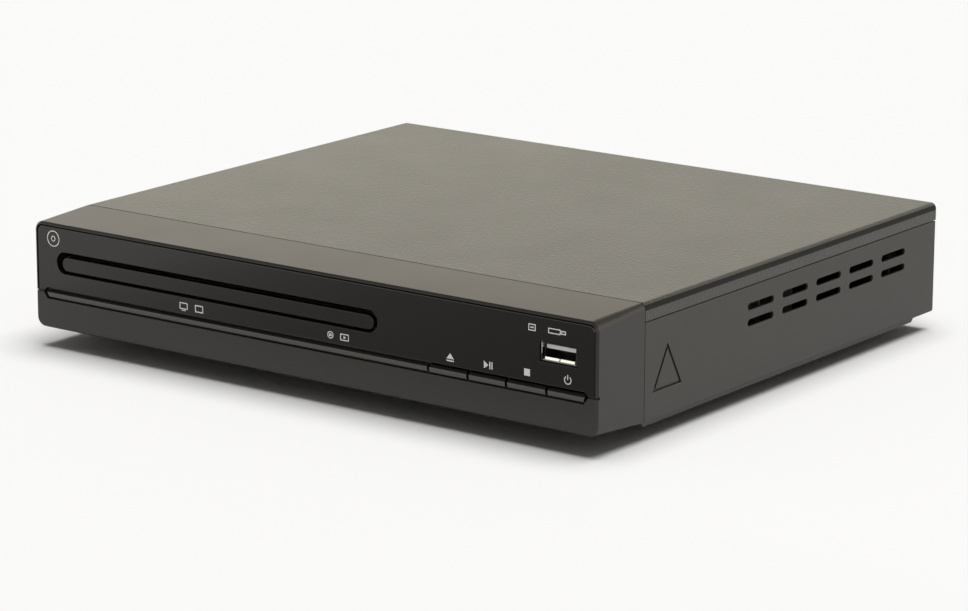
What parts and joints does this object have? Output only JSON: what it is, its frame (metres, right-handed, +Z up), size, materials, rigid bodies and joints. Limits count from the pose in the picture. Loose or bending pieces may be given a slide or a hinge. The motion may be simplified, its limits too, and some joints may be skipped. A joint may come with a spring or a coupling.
{
  "type": "dvd player with tray",
  "caption": "Compact disc player with a sliding disc tray, a gloss front plate, a band of push buttons, side vents and rear sockets; its loader works inside.",
  "frame": {"origin": "centre of the bounding box in X and Y, on the surface that the feet stand on", "axes": "+X to the right seen from the front, +Y from the front to the rear, +Z up"},
  "size_m": [0.225, 0.205, 0.0433],
  "materials": {
    "case_plastic": "fine satin moulded",
    "cover_plastic": "fine textured",
    "fascia_plastic": "satin",
    "panel_gloss": "polished",
    "trim_plastic": "satin",
    "plated_steel": "plated sheet",
    "foot_rubber": "matt",
    "black_screw": "black zinc",
    "board_green": "solder mask",
    "board_tan": "phenolic",
    "bright_metal": "tin plated",
    "turned_steel": "ground",
    "motor_can": "zinc plated",
    "black_plastic": "moulded",
    "switch_plastic": "moulded",
    "loader_plastic": "moulded",
    "tray_plastic": "fine textured",
    "door_plastic": "satin",
    "gear_plastic": "acetal",
    "turntable_plastic": "rubber faced",
    "pickup_metal": "cast",
    "lens_glass": "coated",
    "belt_rubber": "matt",
    "zinc_screw": "zinc plated",
    "capacitor_sleeve": "shrink sleeve",
    "header_plastic": "nylon",
    "jack_plastic": "coloured moulding",
    "contact_metal": "gold flash",
    "transformer_tape": "polyester tape",
    "sink_aluminium": "extruded",
    "wire_brown": "insulated",
    "wire_red": "insulated",
    "ribbon": "polyester"
  },
  "bodies": {
    "chassis": {"lower_case": "case_plastic", "top_cover": "cover_plastic", "fascia": "fascia_plastic", "front_panel": "panel_gloss", "trim_bar": "trim_plastic", "rear_panel": "plated_steel", "clamp_bridge": "plated_steel", "rubber_feet": "foot_rubber", "case_screws": "black_screw", "front_board": "board_green", "main_board": "board_green", "power_board": "board_tan", "usb_socket": "bright_metal", "hdmi_socket": "bright_metal", "jack_barrels": "bright_metal", "inlet_pins": "bright_metal", "tray_motor": "motor_can", "ir_receiver": "black_plastic", "jack_block": "black_plastic", "scart_socket": "black_plastic", "mains_inlet": "black_plastic", "board_chips": "black_plastic", "usb_tongue": "switch_plastic", "tact_switches": "switch_plastic", "loader_frame": "loader_plastic", "drive_belt": "belt_rubber", "grommets": "belt_rubber", "loader_screws": "zinc_screw", "board_screws": "zinc_screw", "board_capacitors": "capacitor_sleeve", "power_capacitors": "capacitor_sleeve", "board_headers": "header_plastic", "jack_insulators": "jack_plastic", "scart_contacts": "contact_metal", "transformer": "transformer_tape", "heat_sink": "sink_aluminium", "mains_wires": "wire_brown", "power_wires": "wire_red", "flat_cable": "ribbon"},
    "tray": {"disc_tray": "tray_plastic", "tray_door": "door_plastic"},
    "drive_gear": {"drive_gear": "gear_plastic"},
    "pulley_gear": {"pulley_gear": "gear_plastic"},
    "motor_pulley": {"motor_pulley": "gear_plastic"},
    "traverse": {"traverse_plate": "plated_steel", "guide_rods": "turned_steel", "spindle_motor": "motor_can", "sled_motor": "motor_can"},
    "turntable": {"turntable": "turntable_plastic", "spindle_shaft": "turned_steel"},
    "pickup": {"pickup": "pickup_metal", "pickup_lens": "lens_glass"},
    "lead_screw": {"lead_screw": "turned_steel"},
    "cam_slider": {"cam_slider": "gear_plastic"},
    "clamper": {"clamper": "gear_plastic"},
    "button_eject": {"button_eject": "trim_plastic"},
    "button_play": {"button_play": "trim_plastic"},
    "button_stop": {"button_stop": "trim_plastic"},
    "button_power": {"button_power": "trim_plastic"}
  },
  "joints": [
    {"name": "tray_slide", "type": "slide", "parent": "chassis", "child": "tray", "axis": [0, -1, 0], "range_m": [0, 0.13]},
    {"name": "drive_gear_turn", "type": "hinge", "parent": "chassis", "child": "drive_gear", "pos_m": [0.0031, -0.0655, 0.025], "axis": [0, 0, -1], "range_deg": [0, 1170]},
    {"name": "pulley_gear_turn", "type": "hinge", "parent": "chassis", "child": "pulley_gear", "pos_m": [-0.0137, -0.0655, 0.024], "axis": [0, 0, 1], "range_deg": [0, 2920]},
    {"name": "motor_pulley_turn", "type": "hinge", "parent": "chassis", "child": "motor_pulley", "pos_m": [-0.0485, -0.0655, 0.023], "axis": [0, 0, 1], "range_deg": [0, 11650]},
    {"name": "traverse_tilt", "type": "hinge", "parent": "chassis", "child": "traverse", "pos_m": [-0.0365, 0.0475, 0.0227], "axis": [1, 0, 0], "range_deg": [0, 3.4]},
    {"name": "cam_slide", "type": "slide", "parent": "chassis", "child": "cam_slider", "axis": [1, 0, 0], "range_m": [0, 0.02]},
    {"name": "turntable_spin", "type": "hinge", "parent": "traverse", "child": "turntable", "pos_m": [-0.0365, -0.0335, 0.027], "axis": [0, 0, 1], "continuous": true},
    {"name": "clamper_spin", "type": "hinge", "parent": "chassis", "child": "clamper", "pos_m": [-0.0365, -0.0335, 0.036], "axis": [0, 0, 1], "continuous": true},
    {"name": "pickup_slide", "type": "slide", "parent": "traverse", "child": "pickup", "axis": [0, 1, 0], "range_m": [0, 0.034]},
    {"name": "lead_screw_turn", "type": "hinge", "parent": "traverse", "child": "lead_screw", "pos_m": [-0.0023, 0.0075, 0.0178], "axis": [0, 1, 0], "range_deg": [0, 6125]},
    {"name": "button_eject_press", "type": "slide", "parent": "chassis", "child": "button_eject", "axis": [0, 1, 0], "range_m": [0, 0.0006], "stiffness_N_per_m": 600},
    {"name": "button_play_press", "type": "slide", "parent": "chassis", "child": "button_play", "axis": [0, 1, 0], "range_m": [0, 0.0006], "stiffness_N_per_m": 600},
    {"name": "button_stop_press", "type": "slide", "parent": "chassis", "child": "button_stop", "axis": [0, 1, 0], "range_m": [0, 0.0006], "stiffness_N_per_m": 600},
    {"name": "button_power_press", "type": "slide", "parent": "chassis", "child": "button_power", "axis": [0, 1, 0], "range_m": [0, 0.0006], "stiffness_N_per_m": 600}
  ],
  "couplings": [
    {"joint": "drive_gear_turn", "follows": "tray_slide", "rad_per_m": 156.25},
    {"joint": "pulley_gear_turn", "follows": "tray_slide", "rad_per_m": 390.62},
    {"joint": "motor_pulley_turn", "follows": "tray_slide", "rad_per_m": 1562.5},
    {"joint": "cam_slide", "follows": "traverse_tilt", "m_per_rad": 0.337},
    {"joint": "clamper_spin", "follows": "turntable_spin", "ratio": 1},
    {"joint": "lead_screw_turn", "follows": "pickup_slide", "rad_per_m": 3141.6}
  ]
}
